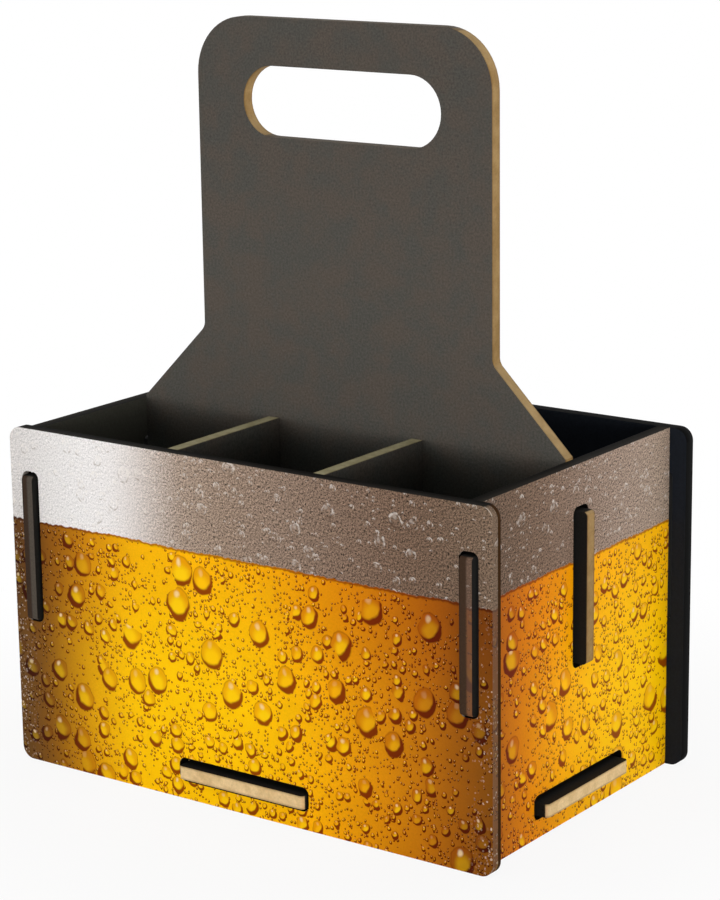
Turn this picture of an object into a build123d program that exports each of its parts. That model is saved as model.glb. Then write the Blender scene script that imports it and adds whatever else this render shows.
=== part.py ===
"""Bottle caddy: a slot-together box of fibreboard with six cells and a carrying handle.

Frame: +Z is up, +X runs along the front and the front board faces -Y. The origin is on the ground,
in the middle of the box. All sizes are in millimetres.
"""
import os
from math import radians, tan
from build123d import *

# Board stock and bottle cells
board = 6.0                     # thickness of every board
cell_length = 73.0              # one bottle cell along X
cell_width = 72.5               # one bottle cell along Y
cells_along = 3                 # cells in each row along X
cells_across = 2                # rows, one on each side of the centre divider

# Outer boards
panel_height = 158.0            # ground to rim
panel_overhang = 8.5            # front and back boards past the end boards, at each end
panel_corner_radius = 6.0       # rounded corners of the front and back boards

# Every tab and slot
tab_corner_radius = 2.0         # rounded free corners of a tab
slot_corner_radius = 3.2        # rounded corners of a slot
front_tab_proud = 2.4           # tabs past the outer face of the front and back boards
end_tab_proud = 5.0             # tabs past the outer face of the end boards

# Upright tabs of the end boards, through slots in the front and back boards
front_tab_length = 67.6         # along the board's edge
front_slot_side_gap = 1.75      # tab's face to the slot's side
front_slot_foot_gap = 1.2       # slot's lower end to the tab's lower edge
front_slot_head_gap = 1.8       # tab's upper edge to the slot's upper end
front_slot_below_rim = 19.8     # rim to the slot's upper end

# Upright tabs of the centre divider, through slots in the end boards
end_tab_length = 67.8
end_slot_side_gap = 3.0
end_slot_foot_gap = 2.0
end_slot_head_gap = 1.8
end_slot_below_rim = 18.6

# Bottom board, held off the ground by a tab on each side
bottom_lift = 10.0              # ground to the bottom board's underside
front_bottom_tab_length = 69.0  # along the board's edge, through the front and back boards
front_bottom_end_gap = 1.2      # that tab's end to its slot's end
end_bottom_tab_length = 67.0    # along the board's edge, through the end boards
end_bottom_end_gap = 3.0        # that tab's end to its slot's end
bottom_slot_foot_gap = 1.7      # slot's lower side to the board's underside
bottom_slot_head_gap = 3.3      # board's top face to the slot's upper side

# Centre divider with its handle
handle_width = 157.5            # upright plate above the shoulders
handle_height = 180.0           # rim to the handle's top edge
handle_corner_radius = 26.0     # top corners of the handle
shoulder_land = 1.0             # shoulder's foot above the rim, at the end board
shoulder_angle = 45.0           # degrees, shoulder to the rim
shoulder_radius = 6.0           # inside corner where the shoulder meets the handle
hand_hole_length = 106.0        # end to end, with half-round ends
hand_hole_height = 31.5
hand_hole_margin = 21.0         # top of the hand hole to the handle's top edge

# Halved joint where a cross divider passes through the centre divider
lap_side_gap = 0.15             # notch's side to the other board's face
lap_end_gap = 0.25              # each notch's end past the middle of the joint
lap_share = 0.5                 # share of the cross divider's height that its notch takes

overrun = 10.0                  # cutters run past the board by this much

# Places worked out from the sizes above
inner_length = cells_along * cell_length + (cells_along - 1) * board
inner_width = cells_across * cell_width + (cells_across - 1) * board
inner_end = inner_length / 2                    # inner face of an end board, along X
outer_end = inner_end + board                   # outer face of an end board, along X
inner_side = inner_width / 2                    # inner face of the front or back board, along Y
outer_side = inner_side + board                 # outer face of the front or back board, along Y
panel_length = 2 * (outer_end + panel_overhang)
front_slot_width = board + 2 * front_slot_side_gap
front_slot_top = panel_height - front_slot_below_rim
front_slot_length = front_tab_length + front_slot_foot_gap + front_slot_head_gap
front_tab_base = front_slot_top - front_slot_head_gap - front_tab_length
end_slot_width = board + 2 * end_slot_side_gap
end_slot_top = panel_height - end_slot_below_rim
end_slot_length = end_tab_length + end_slot_foot_gap + end_slot_head_gap
end_tab_base = end_slot_top - end_slot_head_gap - end_tab_length
floor_top = bottom_lift + board
bottom_slot_height = board + bottom_slot_foot_gap + bottom_slot_head_gap
bottom_slot_low = bottom_lift - bottom_slot_foot_gap
notch_width = board + 2 * lap_side_gap
lap_height = floor_top + (1 - lap_share) * (panel_height - floor_top)
shoulder_foot = panel_height + shoulder_land
handle_top = panel_height + handle_height


def plate(plane, outline):
    """A flat board: the outline drawn on the board's middle plane, thickened to both sides."""
    return extrude(plane * outline, amount=board / 2, both=True)


def bar(length, height, centre, low):
    """A rectangle of an outline: its length, its height, its middle along and its lower edge."""
    return Pos(centre, low + height / 2) * Rectangle(length, height)


def slot(length, height, centre, low):
    """A slot of an outline: a bar with rounded corners."""
    return Pos(centre, low + height / 2) * RectangleRounded(length, height, slot_corner_radius)


def rounded_tab(start, reach, low, length):
    """A tab that leaves the board at start, reaches to reach, and has its two free corners rounded."""
    side = 1 if reach > start else -1
    root = start - side * board
    span = abs(reach - root)
    tab = Pos((root + reach) / 2, low + length / 2) * Rectangle(span, length)
    corners = tab.vertices().sort_by(Axis.X)
    return fillet(corners[2:] if side > 0 else corners[:2], tab_corner_radius)


def side_panel(side):
    """Front board for side -1, back board for side +1: two upright slots and one for the bottom board."""
    outline = Pos(0, panel_height / 2) * RectangleRounded(panel_length, panel_height, panel_corner_radius)
    slot_centre = inner_end + board / 2
    slot_low = front_slot_top - front_slot_length
    for centre in (-slot_centre, slot_centre):
        outline -= slot(front_slot_width, front_slot_length, centre, slot_low)
    bottom_slot_length = front_bottom_tab_length + 2 * front_bottom_end_gap
    outline -= slot(bottom_slot_length, bottom_slot_height, 0, bottom_slot_low)
    middle = side * (inner_side + board / 2)
    return plate(Plane.XZ.offset(-middle), outline)


def end_panel(side):
    """End board for side -1 (left) or +1 (right): a tab at each edge and the centre divider's slot."""
    outline = bar(inner_width, panel_height, 0, 0)
    for direction in (-1, 1):
        reach = direction * (outer_side + front_tab_proud)
        outline += rounded_tab(direction * inner_side, reach, front_tab_base, front_tab_length)
    outline -= slot(end_slot_width, end_slot_length, 0, end_slot_top - end_slot_length)
    bottom_slot_length = end_bottom_tab_length + 2 * end_bottom_end_gap
    outline -= slot(bottom_slot_length, bottom_slot_height, 0, bottom_slot_low)
    middle = side * (inner_end + board / 2)
    return plate(Plane.YZ.offset(middle), outline)


def bottom_panel():
    """The board that the bottles stand on, with a tab through each outer board."""
    outline = Rectangle(inner_length, inner_width)
    for direction in (-1, 1):
        reach = direction * (outer_end + end_tab_proud)
        low = -end_bottom_tab_length / 2
        outline += rounded_tab(direction * inner_end, reach, low, end_bottom_tab_length)
        reach = direction * (outer_side + front_tab_proud)
        low = -front_bottom_tab_length / 2
        turned = rounded_tab(direction * inner_side, reach, low, front_bottom_tab_length)
        outline += Rot(0, 0, 90) * turned
    return plate(Plane.XY.offset(bottom_lift + board / 2), outline)


def cross_divider_places():
    """Middle of each cross divider along X."""
    pitch = cell_length + board
    return [(index - cells_along / 2) * pitch for index in range(1, cells_along)]


def centre_divider():
    """Divider and handle in one board, notched from below over the cross dividers."""
    lower = bar(inner_length, shoulder_foot - floor_top, 0, floor_top)
    half_handle = handle_width / 2
    waist = shoulder_foot + (inner_end - half_handle) * tan(radians(shoulder_angle))
    shoulders = make_face(Polyline(
        (-inner_end, shoulder_foot),
        (-half_handle, waist),
        (half_handle, waist),
        (inner_end, shoulder_foot),
        close=True,
    ))
    handle = bar(handle_width, handle_top - shoulder_foot, 0, shoulder_foot)
    outline = lower + shoulders + handle
    outline = fillet(corners_at(outline, handle_top), handle_corner_radius)
    outline = fillet(corners_at(outline, waist), shoulder_radius)
    for direction in (-1, 1):
        reach = direction * (outer_end + end_tab_proud)
        outline += rounded_tab(direction * inner_end, reach, end_tab_base, end_tab_length)
    hole_middle = handle_top - hand_hole_margin - hand_hole_height / 2
    outline -= Pos(0, hole_middle) * SlotOverall(hand_hole_length, hand_hole_height)
    notch_foot = floor_top - overrun
    notch_depth = lap_height + lap_end_gap - notch_foot
    for place in cross_divider_places():
        outline -= bar(notch_width, notch_depth, place, notch_foot)
    return plate(Plane.XZ, outline)


def cross_divider(place):
    """A divider across the box, notched from above for the centre divider."""
    outline = bar(inner_width, panel_height - floor_top, 0, floor_top)
    notch_foot = lap_height - lap_end_gap
    outline -= bar(notch_width, panel_height + overrun - notch_foot, 0, notch_foot)
    return plate(Plane.YZ.offset(place), outline)


def corners_at(outline, height):
    """The outline's corners at one height."""
    reach = board / 2
    return [corner for corner in outline.vertices() if abs(corner.Y - height) < reach]


def parts():
    """Every board of the caddy by name."""
    made = {
        "front_panel": side_panel(-1),
        "back_panel": side_panel(1),
        "left_end_panel": end_panel(-1),
        "right_end_panel": end_panel(1),
        "bottom_panel": bottom_panel(),
        "centre_divider": centre_divider(),
    }
    places = cross_divider_places()
    sides = ("left", "right") if len(places) == 2 else [str(index + 1) for index in range(len(places))]
    for side, place in zip(sides, places):
        made["cross_divider_" + side] = cross_divider(place)
    return made


os.makedirs("parts", exist_ok=True)
for node, solid in parts().items():
    export_step(solid, f"parts/{node}.step")
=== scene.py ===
"""Bottle caddy: looks of the eight boards, the studio round them and the camera.

The boards are the frame's own nodes. Each gets softened edges and a procedural finish: an outer face
with a printed scene of amber liquid under froth, charcoal or black faces, and raw fibreboard edges.

The boards' finishes work in millimetres, and the scale of a noise is per millimetre. Everything else
is in metres. Colours are given as they show on a screen, 0 to 255. A tint, which has four shares,
multiplies a colour. A pair of plain numbers is a range, where a change starts and where it ends,
unless it is called a place.
"""
import math

import bpy
from mathutils import Matrix, Vector


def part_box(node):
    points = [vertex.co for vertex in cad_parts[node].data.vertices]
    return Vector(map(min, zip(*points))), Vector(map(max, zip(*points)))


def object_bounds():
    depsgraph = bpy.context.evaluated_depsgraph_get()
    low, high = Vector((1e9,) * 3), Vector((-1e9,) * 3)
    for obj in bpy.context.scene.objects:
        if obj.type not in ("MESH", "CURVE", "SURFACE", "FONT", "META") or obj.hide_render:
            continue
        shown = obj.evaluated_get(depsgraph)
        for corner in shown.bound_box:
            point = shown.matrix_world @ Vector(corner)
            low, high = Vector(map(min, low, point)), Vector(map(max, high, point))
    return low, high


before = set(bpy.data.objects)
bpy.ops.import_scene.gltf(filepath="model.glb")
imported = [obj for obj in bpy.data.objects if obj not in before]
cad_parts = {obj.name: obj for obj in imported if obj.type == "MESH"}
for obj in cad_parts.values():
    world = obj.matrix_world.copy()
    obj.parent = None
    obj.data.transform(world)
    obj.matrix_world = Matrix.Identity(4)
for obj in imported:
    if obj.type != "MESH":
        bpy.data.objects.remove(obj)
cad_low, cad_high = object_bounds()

MM = 0.001
X, Y, Z = range(3)
WHITE = (1, 1, 1, 1)

# Camera, solved from the straight edges of the boards
CAMERA_PLACE = Vector((0.70007, -0.95584, 0.44139))
CAMERA_YAW = -0.6279            # radians from +Y, to the right
CAMERA_PITCH = -0.2435          # radians above the horizon
CAMERA_ROLL = -0.0132           # radians
CAMERA_LENS = 108.908           # millimetres, as is the sensor's long side
CAMERA_SENSOR = 36
CAMERA_REACH = 50

# Room, where a height is the upward share of a direction
ROOM_LIGHT = 0.12
BAND_LIGHT = 4.5                # added near the horizon and below it
BAND_HEIGHTS = (0.18, 0.04)
OVERHEAD_LIGHT = 1.05           # added at the top
OVERHEAD_HEIGHTS = (0.6, 0.9)

# Softboxes, each with its place and its power
LAMP_SIZE = 0.6
LAMP_AIM_SHARE = 0.4            # of the caddy's height, where they look
LAMPS = {
    "key": ((-0.7, -2.1, 0.45), 8.8),
    "fill": ((2.1, -0.5, 0.45), 7.4),
    "rear_key": ((0.7, 2.1, 0.45), 6.0),
    "rear_fill": ((-2.1, 0.5, 0.45), 6.0),
}

# Floor of white paper
FLOOR_RADIUS = 6
FLOOR_SIDES = 96
PAPER = 0.70                    # its own grey, under the white that the camera sees
SHADOW_REACH = (0.14, 0.34)     # the shadow fades out between these distances from the middle
SHADOW_WHITE = 0.91             # share of pure white that the floor keeps near the caddy

# Softened edges of every board
EDGE_RADIUS = 0.00025
EDGE_STEPS = 2
EDGE_ANGLE = math.radians(40)
WELD_DISTANCE = 0.00001

# Where the boards meet, in millimetres from the middle of the box
JOINT_SLACK = 0.1
OVERHANG_SLACK = 0.5
INNER_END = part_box("right_end_panel")[0].x / MM + JOINT_SLACK
INNER_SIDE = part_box("back_panel")[0].y / MM + JOINT_SLACK
OVERHANG_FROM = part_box("right_end_panel")[1].x / MM + OVERHANG_SLACK

# Share of the normal along an axis, from surfaces that don't look along it to those that do
FACE_TURN = (0.6, 0.9)          # faces of a board
TAB_TURN = (0.2, 0.45)          # ends of its tabs
SIDE_TURN = (0.2, 0.5)          # side edges
SLOPE_TURN = (0.3, 0.65)        # edges that slope or look up
TOP_TURN = (0.92, 0.99)         # edges that look straight up

# Stained fibreboard
FIBRES = {"scale": 1.0, "detail": 3, "roughness": 0.65}
STAIN_LEVELS = (0.65, 1.35)
STAIN_ROUGHNESS = 0.6
STAIN_BUMP = 0.15
BUMP_DEPTH = 0.0002             # metres
GLOSS = 0.035                   # specular level, also of the print
SLOT_BLACK = (36, 35, 33)       # tabs inside their slots
SLOT_WALL = (16, 15, 14)

# Charcoal stain of the inner boards
CHARCOAL = ((75, 73, 68), (81, 74, 67))
CLOUDS = {"scale": 0.07, "detail": 3, "roughness": 0.6}
CLOUD_RANGE = (0.35, 0.65)
CHARCOAL_LEVELS = (0.35, 1.65)  # by its fibres
PAINTED_LIGHT_HEIGHTS = (330, 170)      # painted light: paler down the handle, making up for the shade that the box casts there
PAINTED_LIGHT_LEVELS = (0.96, 1.14)
CELL_SHADE_HEIGHTS = (166, 136)       # painted shade: darker down in the cells
CELL_SHADE_TINT = (0.42, 0.47, 0.47, 1)
HANDLE_LEVEL = 1.0              # of the centre divider
CELL_SHADE_LEVEL = 0.62               # of the cross dividers and the bottom board, darker as painted shade

# Raw edges, whose colours are pairs of a light and a dark one
TAN = ((162, 132, 86), (144, 114, 69))
KHAKI = ((164, 156, 124), (142, 134, 102))
BEIGE = ((232, 204, 154), (218, 187, 136))
BLOTCHES = {"scale": 0.16}
BLOTCH_RANGE = (0.3, 0.7)
CUT = {"scale": 0.9, "detail": 4, "roughness": 0.7}
CUT_LEVELS = (0.7, 1.3)
SKIN_DEPTHS = (1.9, 2.9)        # denser skins of a board, from its middle plane
SKIN_TINT = (0.5, 0.42, 0.32, 1)
SKIN_SHARE = 0.65
SLOPE_LIGHT_TONE = (186, 172, 138)    # painted light: a paler, greyer tone on edges that slope or look up
SLOPE_LIGHT_SHARE = 0.18
TOP_SHADE_SHARE = 0.9                 # painted shade: share of charcoal on edges that look straight up

# Surface of the printed boards
PRINT_ROUGHNESS = 0.45
PLAIN_ROUGHNESS = 0.8           # where they aren't printed
PRINT_BUMP = 0.06

# Edges of the printed boards, by the depth behind the printed face
# painted light and shade: cut edges darken towards the inner face and lighten near the printed one
RIM_SHADE_DEPTHS = (5.0, 0.3)
RIM_SHADE_LEVELS = (0.32, 1.3)
EDGE_BAND = 6.5                 # cut faces further than this inside the outline are slot walls
WRAP_DEPTHS = (4.0, 3.6)        # the print on the front board's side edges ends here
WRAP_DUST = (112, 94, 78)
WRAP_SHARE = 0.45
BEND_START = (0.2, 0.45)        # painted highlight: a pale line where it bends round them, by the share of the normal
BEND_END = (0.97, 0.85)
BEND_DEPTHS = (1.0, 0.5)
BEND_HIGHLIGHT = (236, 226, 210)
BEND_HIGHLIGHT_SHARE = 0.4
TAB_LEVEL = 0.75                # worn print on the outer half of a tab's end
TAB_DUST = (118, 92, 76)
TAB_SHARE = 0.45
TAB_BLEND = 0.7                 # from the split between the two halves, either way

# Liquid
GLOW = (255, 203, 0)
GLOW_HEIGHT = 46
GLOW_REACH = (95, 15)
GLOW_SHARE = 0.5
LEAN_REACH = 60                 # bubbles further than this beside the glow are lit fully from one side
DEEP_FROM = 50                  # it deepens from this height up to the froth
DEEP_TINT = (0.88, 0.74, 0.7, 1)
DEEP_SHARE = 0.75
FAR_SHARES = (0.5, 0.72)        # of the board's length, where the far tint sets in
PATCHES = {"scale": 0.05, "detail": 3}
PATCH_LEVELS = (0.93, 1.15)
MOTTLE = {"scale": 1.1, "roughness": 0.6}
MOTTLE_LEVELS = (0.86, 1.14)

# Border between liquid and froth
FROTH_FOOT = 115.5              # its middle height
WAVE_HEIGHT = 1.6               # it strays this far up and down
WAVE_LENGTH = 42.0
SCALLOP = 2.4                   # small bubbles along it
SCALLOP_HEIGHT = 0.9
BORDER_REACH = (-0.2, 0.3)
LINE_DROP = 0.45                # middle of a brown line under it
LINE_REACH = (1.0, 0.1)
LINE_TINT = (0.36, 0.18, 0.12, 1)
LINE_SHARE = 0.85

# Bubbles, with the layers of the liquid from fine to large
BUBBLE_LAYERS = (
    {"pitch": 1.7, "shown": 0.40, "fill": 0.85, "stretch": 1.00, "heart": 0.30},
    {"pitch": 2.9, "shown": 0.36, "fill": 0.85, "stretch": 1.05, "heart": 0.55},
    {"pitch": 5.0, "shown": 0.38, "fill": 0.92, "stretch": 1.08, "heart": 0.68},
    {"pitch": 8.5, "shown": 0.42, "fill": 0.95, "stretch": 1.12, "heart": 0.78},
    {"pitch": 14.5, "shown": 0.40, "fill": 1.00, "stretch": 1.15, "heart": 0.82},
)
SEED_SHIFT = (17.3, 9.1, 0)     # from the cells of one seed to those of the next
SMALLEST_SHARE = 0.55           # smallest bubble of a layer, of its largest
BUBBLE_EDGE = (1.0, 0.86)       # distances from its middle, where its radius is 1
CROWDS = {"scale": 0.03}        # they crowd together in patches
CROWD_RANGE = (0.2, 0.55)
STRAYS = {"scale": 0.13}        # and stray from true circles, by about a quarter of this reach
STRAY_REACH = 3.2
BORDER_ROOM = 0.45              # share of a bubble's place that it keeps from the froth's border
CLEAR_FROM = 4.0                # layers of a wider pitch keep clear of the larger bubbles
CLEAR_REACH = 1.5               # by this distance from their middle, where their radius is 1

# Light and shade of a bubble in the liquid, where its radius is 1
BODY_TINT = (0.80, 0.60, 0.45, 1)
BODY_SHARE = 0.7
BROWN_TINT = (0.28, 0.10, 0.05, 1)
BRIGHT = (255, 212, 12)
BRIGHT_LEAN = 0.12              # middle of its bright part: away from the glow, and upward
BRIGHT_RISE = -0.22
BRIGHT_REACH = (0.9, 0.3)
VIVID_RANGE = (0.05, 0.4)       # brightness of the liquid, by which that part is vivid
VIVID_LEVELS = (0.25, 1.0)
VIVID_TONES = (0.15, 0.8)       # from one bubble to another
OUTLINE_REACH = (0.8, 0.95)
OUTLINE_SHARE = 0.62
CRESCENT_LEAN = -0.26           # middle of what its crescent leaves free: likewise
CRESCENT_RISE = 0.34
CRESCENT_BLEND = 0.2
HEART_SPREAD = (-0.12, 0.08)    # from one bubble to another
LIGHT = (250, 226, 178)
LIGHT_PLACE = (-0.12, 0.52)
LIGHT_REACH = (0.3, 0.08)
LIGHT_LEVELS = (0.1, 0.7)       # from one bubble to another

# Froth, with the layers of its rings from fine to large
FROTH_LAYERS = (
    {"pitch": 2.6, "shown": 0.16, "fill": 0.75, "stretch": 1.00, "glint": 0.95},
    {"pitch": 4.4, "shown": 0.26, "fill": 0.85, "stretch": 1.05, "glint": 0.75},
    {"pitch": 8.5, "shown": 0.34, "fill": 0.85, "stretch": 1.10, "glint": 0.40},
)
FROTH_SEED = 11
ROUGH_RANGE = (0.75, 0.15)      # brightness of the froth, which is rougher where it is dark
ROUGH_LEVELS = (0.8, 2.8)
FINE_SCALE = 1.05
FINE_MEAN = 0.42
FINE_SHARE = -0.3
GRAIN = {"scale": 1.7, "detail": 3, "roughness": 0.75}
GRAIN_MEAN = 0.5
GRAIN_SHARE = 1.7
RELIEF = {"scale": 0.8, "detail": 4, "roughness": 0.7}
RELIEF_SHIFT = (0.4, -0.5, 0)   # towards the light
RELIEF_SHARE = 0.75
PALE = (246, 240, 232)
PALE_SHARE = 0.55
RING_TINT = (0.6, 0.56, 0.52, 1)
RING_REACH = (0.5, 0.82)
RING_GAPS = {"scale": 0.55}
RING_GAP_RANGE = (0.38, 0.62)
RING_PALE_PLACE = (0.1, 0.5)    # a ring is pale near this point of it, and dark further off
RING_DARK_REACH = (0.9, 1.2)
GLINT_PLACE = (-0.15, 0.35)
GLINT_REACH = (0.42, 0.1)

# Frost, pale specks at the side edges of the front and back boards
FROST_LAYER = {"pitch": 1.6, "shown": 0.75, "fill": 0.85, "stretch": 1.10}
FROST_SEED = 20
FROST = (206, 191, 174)
FROST_WIDTH = 14.0
FROST_HEIGHTS = (128, 56)       # on the right it sets in downwards
FROST_PATCHES = {"scale": 0.9}
FROST_RANGE = (0.42, 0.58)

# Looks of the printed boards
FRONT_LOOK = {
    "liquid": (
        (0.00, (88, 62, 34)), (0.09, (134, 84, 18)), (0.18, (214, 146, 12)),
        (0.28, (255, 199, 2)), (0.50, (255, 195, 2)), (0.68, (244, 168, 2)),
        (0.86, (187, 106, 12)), (1.00, (104, 62, 16)),
    ),
    "froth": (
        (0.00, (210, 205, 202)), (0.10, (228, 225, 223)), (0.22, (242, 239, 238)),
        (0.30, (208, 197, 190)), (0.38, (154, 132, 113)), (0.56, (143, 123, 108)),
        (0.76, (117, 94, 78)), (0.90, (108, 87, 71)), (1.00, (120, 100, 83)),
    ),
    "mirrored": False,
    "glow": 0.40,
    "far_tint": (0.86, 0.76, 0.85, 1),
    "frost": True,
    "inside": (26, 26, 28),
    "rim": (34, 32, 29),
    "side": (54, 32, 10),
    "wrapped": True,
    "tab_inner": None,
}
BACK_LOOK = {
    **FRONT_LOOK,
    # painted light: lighter and cooler than the front's same black, against the print's warm light inside
    "inside": (33, 37, 44),
    "rim": (18, 18, 18),
    "wrapped": False,
}
RIGHT_LOOK = {
    "liquid": (
        (0.00, (120, 70, 16)), (0.16, (194, 108, 8)), (0.28, (226, 136, 4)),
        (0.44, (250, 168, 2)), (0.62, (255, 188, 2)), (0.86, (255, 200, 4)),
        (1.00, (255, 196, 8)),
    ),
    "froth": (
        (0.00, (102, 84, 71)), (0.20, (111, 89, 72)), (0.40, (126, 103, 87)),
        (0.60, (147, 126, 111)), (0.82, (163, 143, 128)), (1.00, (158, 139, 121)),
    ),
    "mirrored": False,
    "glow": 0.75,
    "far_tint": WHITE,
    "frost": False,
    "inside": (30, 30, 28),
    "rim": (35, 32, 28),
    "wrapped": False,
    "tab_outer": None,
    "tab_inner": (62, 46, 34),
    "tab_split": 2.6,
}
LEFT_LOOK = {
    **RIGHT_LOOK,
    "mirrored": True,
    # painted light: the left end's inner face is lighter than the other boards' same black
    "inside": (62, 61, 54),
    "tab_outer": (58, 45, 36),
    "tab_inner": (80, 73, 65),
    "tab_split": 3.0,
}


def colour(red, green, blue):
    """A colour given as it shows on a screen, as the linear values that shaders take."""
    linear = []
    for value in (red, green, blue):
        share = value / 255
        linear.append(share / 12.92 if share <= 0.04045 else ((share + 0.055) / 1.055) ** 2.4)
    return (*linear, 1.0)


class Finish:
    """A material in the making. Its calls add nodes and give back the socket that carries the result."""

    def __init__(self, tree):
        self.tree = tree
        self.tree.nodes.clear()

    def add(self, kind, inputs, output=0, **settings):
        """A new node of that kind, fed with sockets or plain values. An output node gives back itself."""
        node = self.tree.nodes.new("ShaderNode" + kind)
        for key, value in settings.items():
            setattr(node, key, value)
        for key, value in inputs.items():
            self.feed(node.inputs[key], value)
        return node.outputs[output] if node.outputs else node

    def feed(self, socket, value):
        """Links another node's socket to this one, or sets a plain value on it."""
        if isinstance(value, bpy.types.NodeSocket):
            self.tree.links.new(value, socket)
        else:
            socket.default_value = value

    def math(self, operation, first, second=0.0, third=0.0):
        return self.add("Math", {0: first, 1: second, 2: third}, operation=operation)

    def times(self, first, second):
        return self.math("MULTIPLY", first, second)

    def less(self, first, second):
        """1 where the first is less than the second, 0 elsewhere."""
        return self.math("LESS_THAN", first, second)

    def vector(self, operation, first, second=(0.0, 0.0, 0.0), output=0):
        return self.add("VectorMath", {0: first, 1: second}, output, operation=operation)

    def step(self, value, low, high):
        """0 at low, 1 at high, smooth between them. Low may be the larger."""
        inputs = {"Value": value, "From Min": low, "From Max": high}
        return self.add("MapRange", inputs, interpolation_type="SMOOTHSTEP", clamp=True)

    def span(self, value, low, high):
        """A share from 0 to 1 made to run from low to high."""
        return self.math("MULTIPLY_ADD", value, high - low, low)

    def mix(self, share, first, second, blend="MIX"):
        """The first colour with a share of the second."""
        node = self.tree.nodes.new("ShaderNodeMix")
        node.data_type = "RGBA"
        node.blend_type = blend
        sockets = [socket for socket in node.inputs if socket.enabled]
        for socket, value in zip(sockets, (share, first, second)):
            self.feed(socket, value)
        return [socket for socket in node.outputs if socket.enabled][0]

    def tint(self, shade, factor):
        """The colour times another colour, or times a grey."""
        if not isinstance(factor, tuple):
            factor = self.add("CombineColor", {0: factor, 1: factor, 2: factor})
        return self.mix(1.0, shade, factor, "MULTIPLY")

    def brightness(self, shade):
        return self.add("RGBToBW", {0: shade})

    def ramp(self, value, stops):
        """Colours at places from 0 to 1."""
        result = self.add("ValToRGB", {"Fac": value})
        elements = result.node.color_ramp.elements
        result.node.color_ramp.interpolation = "B_SPLINE"
        while len(elements) < len(stops):
            elements.new(1.0)
        for element, (place, shade) in zip(elements, stops):
            element.position = place
            element.color = colour(*shade)
        return result

    def noise(self, where, scale, detail=2.0, roughness=0.5, output="Fac"):
        inputs = {"Vector": where, "Scale": scale, "Detail": detail, "Roughness": roughness}
        return self.add("TexNoise", inputs, output)

    def cells(self, where, scale, feature="F1"):
        """Flat cells at random places."""
        inputs = {"Vector": where, "Scale": scale}
        return self.add("TexVoronoi", inputs, voronoi_dimensions="2D", feature=feature)

    def parts(self, vector):
        node = self.add("SeparateXYZ", {0: vector}).node
        return tuple(node.outputs)

    def joined(self, across, upward, outward=0.0):
        return self.add("CombineXYZ", {0: across, 1: upward, 2: outward})

    def seen_directly(self):
        """1 for what the camera sees itself, in a mirror or through glass, 0 for light on the object."""
        rays = self.add("LightPath", {}).node.outputs
        seen = self.math("MAXIMUM", rays["Is Camera Ray"], rays["Is Glossy Ray"])
        return self.math("MAXIMUM", seen, rays["Is Transmission Ray"])


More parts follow.
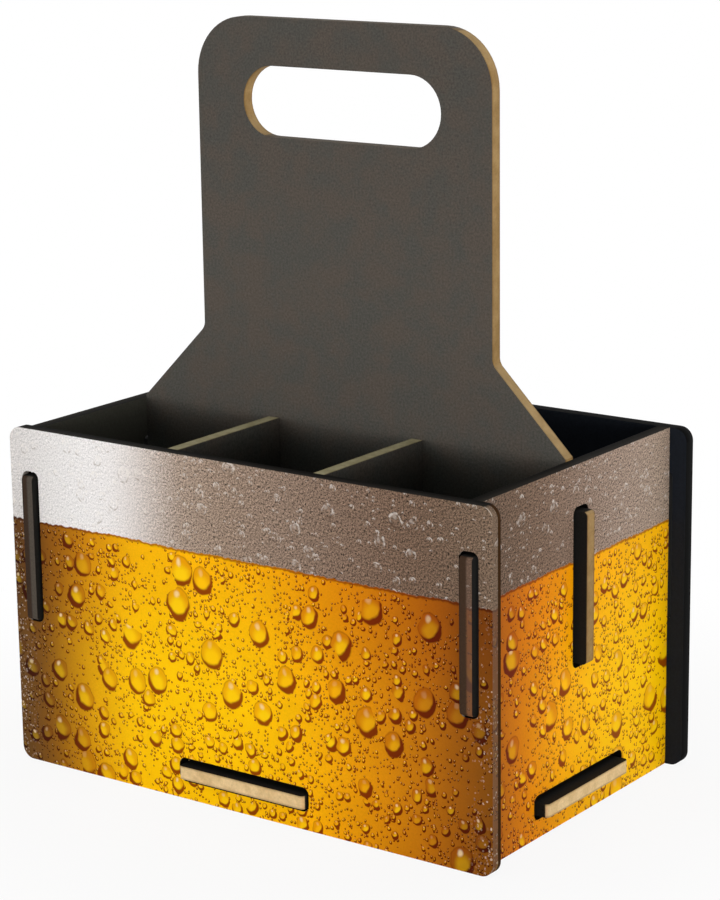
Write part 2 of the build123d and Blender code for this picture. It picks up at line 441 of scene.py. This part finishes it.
class BoardFinish(Finish):
    """The finish of one board, which is thin along axis."""

    def __init__(self, node, axis):
        self.material = bpy.data.materials.new(node + "_finish")
        self.material.use_nodes = True
        super().__init__(self.material.node_tree)
        low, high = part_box(node)
        self.low, self.high, self.axis = low / MM, high / MM, axis
        place = self.add("TexCoord", {}, "Object")
        self.where = self.vector("MULTIPLY", place, (1 / MM, 1 / MM, 1 / MM))
        self.point = self.parts(self.where)
        self.normal = self.parts(self.add("NewGeometry", {}, "True Normal"))
        self.fibres = self.noise(self.where, **FIBRES)

    def turned_to(self, axis):
        """How squarely the surface looks along that axis, either way, from 0 to 1."""
        return self.math("ABSOLUTE", self.normal[axis])

    def facing(self, axis, sign=0):
        """1 on faces that look along that axis, towards sign or both ways, and 0 elsewhere."""
        turn = self.times(self.normal[axis], sign) if sign else self.turned_to(axis)
        return self.step(turn, *FACE_TURN)

    def beyond(self, axis, reach):
        """1 where the point is further than reach from the middle along that axis, on either side."""
        return self.math("GREATER_THAN", self.math("ABSOLUTE", self.point[axis]), reach)

    def charcoal(self, level):
        """Charcoal-stained fibreboard: fine fibres and a slight cloudiness.

        Painted light makes it paler down the handle, and painted shade makes it darker down in the cells.
        """
        first, second = CHARCOAL
        clouds = self.step(self.noise(self.where, **CLOUDS), *CLOUD_RANGE)
        shade = self.mix(clouds, colour(*first), colour(*second))
        # painted light: paler down the handle; painted shade: darker down in the cells
        start, end = PAINTED_LIGHT_LEVELS
        paler = self.step(self.point[Z], *PAINTED_LIGHT_HEIGHTS)
        shade = self.tint(shade, self.span(paler, start * level, end * level))
        cell_shade = self.step(self.point[Z], *CELL_SHADE_HEIGHTS)
        shade = self.mix(cell_shade, shade, self.tint(shade, CELL_SHADE_TINT))
        return self.tint(shade, self.span(self.fibres, *CHARCOAL_LEVELS))

    def raw(self, light, dark):
        """Cut fibreboard: blotches, short fibres and denser skins near the two faces."""
        blotches = self.step(self.noise(self.where, **BLOTCHES), *BLOTCH_RANGE)
        shade = self.mix(blotches, colour(*dark), colour(*light))
        middle = (self.low[self.axis] + self.high[self.axis]) / 2
        depth = self.math("ABSOLUTE", self.math("SUBTRACT", self.point[self.axis], middle))
        skin = self.times(self.step(depth, *SKIN_DEPTHS), SKIN_SHARE)
        shade = self.mix(skin, shade, self.tint(shade, SKIN_TINT))
        return self.tint(shade, self.span(self.noise(self.where, **CUT), *CUT_LEVELS))

    def stained(self, shade):
        """A plain dark stain with the fibres showing."""
        return self.tint(colour(*shade), self.span(self.fibres, *STAIN_LEVELS))

    def with_tabs(self, shade, end):
        """Tabs are black where they pass through another board, apart from their ends."""
        along_x = self.beyond(X, INNER_END) if self.axis != X else 0.0
        along_y = self.beyond(Y, INNER_SIDE)
        tab = self.math("MAXIMUM", along_x, along_y)
        end_x = self.times(along_x, self.step(self.turned_to(X), *TAB_TURN))
        end_y = self.times(along_y, self.step(self.turned_to(Y), *TAB_TURN))
        shade = self.mix(tab, shade, self.stained(SLOT_BLACK))
        return self.mix(self.math("MAXIMUM", end_x, end_y), shade, end)

    def surface(self, shade, roughness, strength):
        """The finished material, with its fibres standing out a little."""
        bump = self.add("Bump", {"Strength": strength, "Distance": BUMP_DEPTH, "Height": self.fibres})
        inputs = {"Base Color": shade, "Roughness": roughness, "Specular IOR Level": GLOSS, "Normal": bump}
        self.add("OutputMaterial", {"Surface": self.add("BsdfPrincipled", inputs)})
        return self.material


class Bubble:
    """The bubble nearest to each point of a plane. A layer holds one to a cell at most, and none touch.

    A layer's pitch is its spacing, shown the share of its places that hold a bubble, fill the share of
    a place that one fills at most, and stretch how tall one is for its width.
    """

    def __init__(self, finish, layer, seed, where, ceiling=None):
        self.finish = finish
        cell = (layer["pitch"], layer["pitch"] * layer["stretch"], 1)
        shift = tuple(part * seed for part in SEED_SHIFT)
        cells = finish.vector("ADD", finish.vector("DIVIDE", where, cell), shift)
        nearest = finish.cells(cells, 1.0).node
        room = finish.cells(cells, 1.0, "N_SPHERE_RADIUS")
        middle = nearest.outputs["Position"]
        chance, size, self.tone = finish.parts(nearest.outputs["Color"])
        self.clear = finish.math("DIVIDE", chance, layer["shown"])
        radius = finish.times(room, finish.span(size, SMALLEST_SHARE * layer["fill"], layer["fill"]))
        offset = finish.vector("SUBTRACT", cells, middle)
        self.local = finish.vector("DIVIDE", offset, finish.joined(radius, radius, 1.0))
        self.reach = finish.vector("LENGTH", self.local, output="Value")
        self.home = finish.vector("MULTIPLY", finish.vector("SUBTRACT", middle, shift), cell)
        crowd = finish.step(finish.noise(self.home, **CROWDS), *CROWD_RANGE)
        self.present = finish.less(chance, finish.times(crowd, layer["shown"]))
        if ceiling is not None:
            below = finish.less(finish.parts(self.home)[Y], ceiling - BORDER_ROOM * cell[Y])
            self.present = finish.times(self.present, below)

    def keep_clear_of(self, other):
        """Takes the bubble away where it would lie on a larger one, given at this bubble's middle."""
        taken = self.finish.times(self.finish.less(other.reach, CLEAR_REACH), other.present)
        self.present = self.finish.times(self.present, self.finish.math("SUBTRACT", 1.0, taken))

    def mask(self):
        """1 inside the bubble, 0 outside it and where there is none."""
        return self.finish.times(self.finish.step(self.reach, *BUBBLE_EDGE), self.present)

    def away(self, across, upward):
        """Distance from a point inside the bubble, whose radius is 1."""
        point = self.finish.joined(across, upward)
        return self.finish.vector("DISTANCE", self.local, point, output="Value")


def liquid_bubble(finish, bubble, base, lean, heart):
    """A bubble with a dark outline, a light, and a bright part and a dark crescent away from the glow.

    Lean runs from -1 on the left of the glow to 1 on its right. Heart is how far the bubble is free of
    its crescent.
    """
    brown = finish.tint(base, BROWN_TINT)
    shade = finish.mix(BODY_SHARE, base, finish.tint(base, BODY_TINT))
    vivid = finish.span(finish.step(finish.brightness(base), *VIVID_RANGE), *VIVID_LEVELS)
    vivid = finish.times(vivid, finish.span(bubble.tone, *VIVID_TONES))
    bright = finish.mix(vivid, base, colour(*BRIGHT))
    from_bright = bubble.away(finish.times(lean, BRIGHT_LEAN), BRIGHT_RISE)
    shade = finish.mix(finish.step(from_bright, *BRIGHT_REACH), shade, bright)
    outline = finish.times(finish.step(bubble.reach, *OUTLINE_REACH), OUTLINE_SHARE)
    shade = finish.mix(outline, shade, brown)
    least, most = HEART_SPREAD
    free = finish.span(bubble.clear, heart + least, heart + most)
    from_free = bubble.away(finish.times(lean, CRESCENT_LEAN), CRESCENT_RISE)
    crescent = finish.step(from_free, free, finish.math("ADD", free, CRESCENT_BLEND))
    shade = finish.mix(crescent, shade, brown)
    light = finish.step(bubble.away(*LIGHT_PLACE), *LIGHT_REACH)
    light = finish.times(light, finish.span(bubble.tone, *LIGHT_LEVELS))
    return finish.mix(light, shade, colour(*LIGHT))


def liquid(finish, where, base, lean, seed):
    """The liquid with its bubbles, the large ones over the small ones."""
    shade = finish.tint(base, finish.span(finish.noise(where, **MOTTLE), *MOTTLE_LEVELS))
    for index, layer in enumerate(BUBBLE_LAYERS):
        bubble = Bubble(finish, layer, seed + index, where, FROTH_FOOT)
        if layer["pitch"] > CLEAR_FROM:
            for above in range(index + 1, len(BUBBLE_LAYERS)):
                larger = Bubble(finish, BUBBLE_LAYERS[above], seed + above, bubble.home, FROTH_FOOT)
                bubble.keep_clear_of(larger)
        lit = liquid_bubble(finish, bubble, base, lean, layer["heart"])
        shade = finish.mix(bubble.mask(), shade, lit)
    return shade


def froth(finish, where, base, seed):
    """Packed fine bubbles, with broken rings and, as bright as a layer's glint, a point in each ring."""
    rough = finish.span(finish.step(finish.brightness(base), *ROUGH_RANGE), *ROUGH_LEVELS)
    fine = finish.math("SUBTRACT", finish.cells(where, FINE_SCALE), FINE_MEAN)
    grain = finish.math("SUBTRACT", finish.noise(where, **GRAIN), GRAIN_MEAN)
    lit = finish.noise(finish.vector("ADD", where, RELIEF_SHIFT), **RELIEF)
    relief = finish.math("SUBTRACT", finish.noise(where, **RELIEF), lit)
    ripple = finish.math("MULTIPLY_ADD", grain, GRAIN_SHARE, finish.times(relief, RELIEF_SHARE))
    ripple = finish.math("MULTIPLY_ADD", fine, FINE_SHARE, ripple)
    shade = finish.tint(base, finish.math("MULTIPLY_ADD", ripple, rough, 1.0))
    pale = finish.mix(PALE_SHARE, base, colour(*PALE))
    deep = finish.tint(base, RING_TINT)
    unbroken = finish.step(finish.noise(where, **RING_GAPS), *RING_GAP_RANGE)
    for index, layer in enumerate(FROTH_LAYERS):
        ring = Bubble(finish, layer, seed + FROTH_SEED + index, where)
        edge = finish.times(finish.step(ring.reach, *RING_REACH), ring.mask())
        dark = finish.step(ring.away(*RING_PALE_PLACE), *RING_DARK_REACH)
        shade = finish.mix(finish.times(edge, unbroken), shade, finish.mix(dark, pale, deep))
        glint = finish.times(finish.step(ring.away(*GLINT_PLACE), *GLINT_REACH), ring.mask())
        shade = finish.mix(finish.times(glint, layer["glint"]), shade, pale)
    return shade


def liquid_base(finish, flat, along, glow_middle, look):
    """The liquid's own colours along the board, with a glow low down, and deeper under the froth."""
    shade = finish.ramp(along, look["liquid"])
    from_glow = finish.vector("DISTANCE", flat, (glow_middle, GLOW_HEIGHT, 0), output="Value")
    glow = finish.times(finish.step(from_glow, *GLOW_REACH), GLOW_SHARE)
    shade = finish.mix(glow, shade, colour(*GLOW))
    upward = finish.parts(flat)[Y]
    deep = finish.times(finish.step(upward, DEEP_FROM, FROTH_FOOT), DEEP_SHARE)
    shade = finish.mix(deep, shade, finish.tint(shade, DEEP_TINT))
    far = finish.times(deep, finish.step(along, *FAR_SHARES))
    shade = finish.mix(far, shade, finish.tint(shade, look["far_tint"]))
    return finish.tint(shade, finish.span(finish.noise(flat, **PATCHES), *PATCH_LEVELS))


def frosted(finish, shade, flat, where, length, seed):
    """Pale specks near the left edge and, low down, near the right one."""
    across, upward, _ = finish.parts(flat)
    left = finish.step(across, FROST_WIDTH, 0.0)
    right = finish.step(finish.math("SUBTRACT", length, across), FROST_WIDTH, 0.0)
    right = finish.times(right, finish.step(upward, *FROST_HEIGHTS))
    speck = Bubble(finish, FROST_LAYER, seed + FROST_SEED, where)
    frost = finish.times(finish.math("MAXIMUM", left, right), speck.mask())
    patches = finish.step(finish.noise(flat, **FROST_PATCHES), *FROST_RANGE)
    frost = finish.times(finish.times(frost, patches), speck.tone)
    return finish.mix(frost, shade, colour(*FROST))


def above_border(finish, flat):
    """Height above the froth's lower border, which is wavy and has small bubbles along it."""
    wave = finish.noise(finish.vector("MULTIPLY", flat, (1 / WAVE_LENGTH, 0, 0)), 1.0)
    border = finish.span(wave, FROTH_FOOT - WAVE_HEIGHT, FROTH_FOOT + WAVE_HEIGHT)
    height = finish.math("SUBTRACT", finish.parts(flat)[Y], border)
    height = finish.math("SUBTRACT", height, SCALLOP_HEIGHT / 2)
    return finish.math("MULTIPLY_ADD", finish.cells(flat, 1 / SCALLOP), SCALLOP_HEIGHT, height)


def printed_face(finish, flat, length, look, seed):
    """Amber liquid under froth. Flat is a place in mm, from the board's left edge and from the ground.

    The look's liquid and froth are colours at shares of the length, from the left, or from the right
    where it is mirrored. Its glow is at a share from the left in both cases.
    """
    across = finish.parts(flat)[X]
    strays = finish.vector("SUBTRACT", finish.noise(flat, output="Color", **STRAYS), (0.5, 0.5, 0.5))
    where = finish.vector("ADD", flat, finish.vector("MULTIPLY", strays, (STRAY_REACH, STRAY_REACH, 0)))
    along = finish.math("DIVIDE", across, length)
    if look["mirrored"]:
        along = finish.math("SUBTRACT", 1.0, along)
    middle = look["glow"] * length
    lean = finish.span(finish.step(across, middle - LEAN_REACH, middle + LEAN_REACH), -1.0, 1.0)
    base = liquid_base(finish, flat, along, middle, look)
    shade = liquid(finish, where, base, lean, seed)
    if look["frost"]:
        shade = frosted(finish, shade, flat, where, length, seed)
    above = above_border(finish, flat)
    from_line = finish.math("ABSOLUTE", finish.math("ADD", above, LINE_DROP))
    line = finish.times(finish.step(from_line, *LINE_REACH), LINE_SHARE)
    shade = finish.mix(line, shade, finish.tint(base, LINE_TINT))
    foam = froth(finish, where, finish.ramp(along, look["froth"]), seed)
    return finish.mix(finish.step(above, *BORDER_REACH), shade, foam)


def wrapped_edges(finish, shade, picture, depth, run, look):
    """The print runs some way round the board's side edges, dulled, with a painted highlight where it
    bends.
    """
    turn = finish.turned_to(run)
    side = finish.times(finish.step(turn, *SIDE_TURN), finish.beyond(run, OVERHANG_FROM))
    dulled = finish.mix(WRAP_SHARE, picture, colour(*WRAP_DUST))
    edge = finish.mix(finish.step(depth, *WRAP_DEPTHS), finish.stained(look["side"]), dulled)
    shade = finish.mix(side, shade, edge)
    # painted highlight: a pale line along the bend
    bend_highlight = finish.times(finish.step(turn, *BEND_START), finish.step(turn, *BEND_END))
    bend_highlight = finish.times(bend_highlight, finish.step(depth, *BEND_DEPTHS))
    return finish.mix(finish.times(bend_highlight, BEND_HIGHLIGHT_SHARE), shade, colour(*BEND_HIGHLIGHT))


def tab_end(finish, picture, depth, look):
    """A tab's end, in one tone to the depth of tab_split and in another behind it.

    The outer tone is worn print where the look gives none.
    """
    if look["tab_outer"]:
        outer = finish.stained(look["tab_outer"])
    else:
        outer = finish.mix(TAB_SHARE, finish.tint(picture, TAB_LEVEL), colour(*TAB_DUST))
    split = finish.step(depth, look["tab_split"] - TAB_BLEND, look["tab_split"] + TAB_BLEND)
    return finish.mix(split, outer, finish.stained(look["tab_inner"]))


def printed_board(node, axis, sign, look, seed):
    """Print on the face that looks towards sign along axis, black on the inner one, dark edges."""
    finish = BoardFinish(node, axis)
    run = X if axis == Y else Y     # the board's long way
    leftwards = sign if axis == Y else -sign     # which way the viewer's left is, outside the board
    left_edge = (finish.high if leftwards > 0 else finish.low)[run]
    length = (finish.high - finish.low)[run]
    outer_face = (finish.high if sign > 0 else finish.low)[axis]
    depth = finish.math("MULTIPLY_ADD", finish.point[axis], -sign, sign * outer_face)

    # The picture goes on round the side edges, where the depth counts as more of the length
    across = finish.math("MULTIPLY_ADD", finish.point[run], -leftwards, leftwards * left_edge)
    side = finish.math("SIGN", finish.math("SUBTRACT", across, length / 2))
    across = finish.math("ADD", across, finish.times(depth, side))
    picture = printed_face(finish, finish.joined(across, finish.point[Z]), length, look, seed)

    # painted light and shade: the cut edges darken towards the inner face and lighten near the print
    level = finish.span(finish.step(depth, *RIM_SHADE_DEPTHS), *RIM_SHADE_LEVELS)
    shade = finish.tint(finish.stained(look["rim"]), level)
    within = finish.less(finish.math("ABSOLUTE", finish.point[run]), length / 2 - EDGE_BAND)
    within = finish.times(within, finish.less(finish.point[Z], finish.high.z - EDGE_BAND))
    shade = finish.mix(within, shade, finish.stained(SLOT_WALL))
    if look["wrapped"]:
        shade = wrapped_edges(finish, shade, picture, depth, run, look)
    shade = finish.mix(finish.facing(axis, -sign), shade, finish.stained(look["inside"]))
    shade = finish.mix(finish.facing(axis, sign), shade, picture)
    if look["tab_inner"]:
        shade = finish.with_tabs(shade, tab_end(finish, picture, depth, look))
    roughness = finish.span(finish.facing(axis, sign), PLAIN_ROUGHNESS, PRINT_ROUGHNESS)
    dress(node, finish.surface(shade, roughness, PRINT_BUMP))


def divider_board(node, axis, edge, level, shaded_top=False):
    """Charcoal faces along that axis, and raw edges.

    With a dark top, painted shade makes the edges that look straight up charcoal, and painted light makes
    sloping ones paler and greyer.
    """
    finish = BoardFinish(node, axis)
    charcoal = finish.charcoal(level)
    raw = finish.raw(*edge)
    if shaded_top:
        # painted light: sloping edges turn paler and greyer
        sloped_light = finish.times(finish.step(finish.normal[Z], *SLOPE_TURN), SLOPE_LIGHT_SHARE)
        raw = finish.mix(sloped_light, raw, colour(*SLOPE_LIGHT_TONE))
        # painted shade: edges that look straight up take the charcoal colour
        top = finish.times(finish.step(finish.normal[Z], *TOP_TURN), TOP_SHADE_SHARE)
        raw = finish.mix(top, raw, charcoal)
    shade = finish.mix(finish.facing(axis), raw, charcoal)
    dress(node, finish.surface(finish.with_tabs(shade, raw), STAIN_ROUGHNESS, STAIN_BUMP))


def dress(node, material):
    """Gives a board its finish, welds its mesh and rounds its edges a little, so that they catch light."""
    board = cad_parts[node]
    for slot in board.material_slots:
        slot.link = "OBJECT"
        slot.material = material
    weld = board.modifiers.new("weld", "WELD")
    weld.merge_threshold = WELD_DISTANCE
    bevel = board.modifiers.new("soft_edges", "BEVEL")
    bevel.width = EDGE_RADIUS
    bevel.segments = EDGE_STEPS
    bevel.limit_method = "ANGLE"
    bevel.angle_limit = EDGE_ANGLE


def add_camera():
    """The camera, which looks from the place and along the angles named above."""
    forward = Vector((
        math.sin(CAMERA_YAW) * math.cos(CAMERA_PITCH),
        math.cos(CAMERA_YAW) * math.cos(CAMERA_PITCH),
        math.sin(CAMERA_PITCH),
    ))
    level = Vector((math.cos(CAMERA_YAW), -math.sin(CAMERA_YAW), 0))
    right = Matrix.Rotation(-CAMERA_ROLL, 3, forward) @ level
    upward = right.cross(forward)
    camera = bpy.data.objects.new("camera", bpy.data.cameras.new("camera"))
    camera.matrix_world = Matrix.Translation(CAMERA_PLACE) @ Matrix((
        (right.x, upward.x, -forward.x),
        (right.y, upward.y, -forward.y),
        (right.z, upward.z, -forward.z),
    )).to_4x4()
    camera.data.sensor_width = CAMERA_SENSOR
    camera.data.lens = CAMERA_LENS
    camera.data.clip_end = CAMERA_REACH
    bpy.context.scene.collection.objects.link(camera)
    bpy.context.scene.camera = camera


def add_lamp(name, where, power):
    """A square softbox that looks at the middle of the caddy."""
    lamp = bpy.data.lights.new(name, "AREA")
    lamp.shape = "SQUARE"
    lamp.size = LAMP_SIZE
    lamp.energy = power
    holder = bpy.data.objects.new(name, lamp)
    holder.location = where
    aim = Vector((0, 0, cad_high.z * LAMP_AIM_SHARE)) - Vector(where)
    holder.rotation_euler = aim.to_track_quat("-Z", "Y").to_euler()
    bpy.context.scene.collection.objects.link(holder)


def add_floor():
    """White paper that keeps the shadow near the caddy."""
    bpy.ops.mesh.primitive_circle_add(vertices=FLOOR_SIDES, radius=FLOOR_RADIUS, fill_type="NGON")
    floor = bpy.context.object
    floor.name = "floor"
    paper = bpy.data.materials.new("paper")
    paper.use_nodes = True
    floor.data.materials.append(paper)
    finish = Finish(paper.node_tree)
    distance = finish.vector("LENGTH", finish.add("TexCoord", {}, "Object"), output="Value")
    share = finish.span(finish.step(distance, *SHADOW_REACH), SHADOW_WHITE, 1.0)
    white = finish.add("Emission", {"Color": WHITE, "Strength": 1.0})
    matt = finish.add("BsdfDiffuse", {"Color": (PAPER, PAPER, PAPER, 1)})
    bright = finish.times(share, finish.seen_directly())
    finish.add("OutputMaterial", {"Surface": finish.add("MixShader", {0: bright, 1: matt, 2: white})})


def add_room():
    """A white room, brightest near the horizon and below it, with a softer light overhead."""
    world = bpy.data.worlds.new("studio")
    bpy.context.scene.world = world
    world.use_nodes = True
    room = Finish(world.node_tree)
    height = room.parts(room.add("TexCoord", {}, "Generated"))[Z]
    band = room.span(room.step(height, *BAND_HEIGHTS), ROOM_LIGHT, ROOM_LIGHT + BAND_LIGHT)
    strength = room.math("MULTIPLY_ADD", room.step(height, *OVERHEAD_HEIGHTS), OVERHEAD_LIGHT, band)
    walls = room.add("Background", {"Color": WHITE, "Strength": strength})
    backdrop = room.add("Background", {"Color": WHITE, "Strength": 1.0})
    blend = room.add("MixShader", {0: room.seen_directly(), 1: walls, 2: backdrop})
    room.add("OutputWorld", {"Surface": blend})


add_camera()
add_floor()
add_room()
for name, (place, power) in LAMPS.items():
    add_lamp(name, place, power)
printed_board("front_panel", Y, -1, FRONT_LOOK, seed=1)
printed_board("back_panel", Y, 1, BACK_LOOK, seed=2)
printed_board("right_end_panel", X, 1, RIGHT_LOOK, seed=3)
printed_board("left_end_panel", X, -1, LEFT_LOOK, seed=4)
divider_board("centre_divider", Y, TAN, HANDLE_LEVEL, shaded_top=True)
# painted shade: the cross dividers and the bottom board take a darker level of the same charcoal
divider_board("cross_divider_left", X, KHAKI, CELL_SHADE_LEVEL)
divider_board("cross_divider_right", X, KHAKI, CELL_SHADE_LEVEL)
divider_board("bottom_panel", Z, BEIGE, CELL_SHADE_LEVEL)

bpy.context.scene.view_settings.view_transform = "Standard"
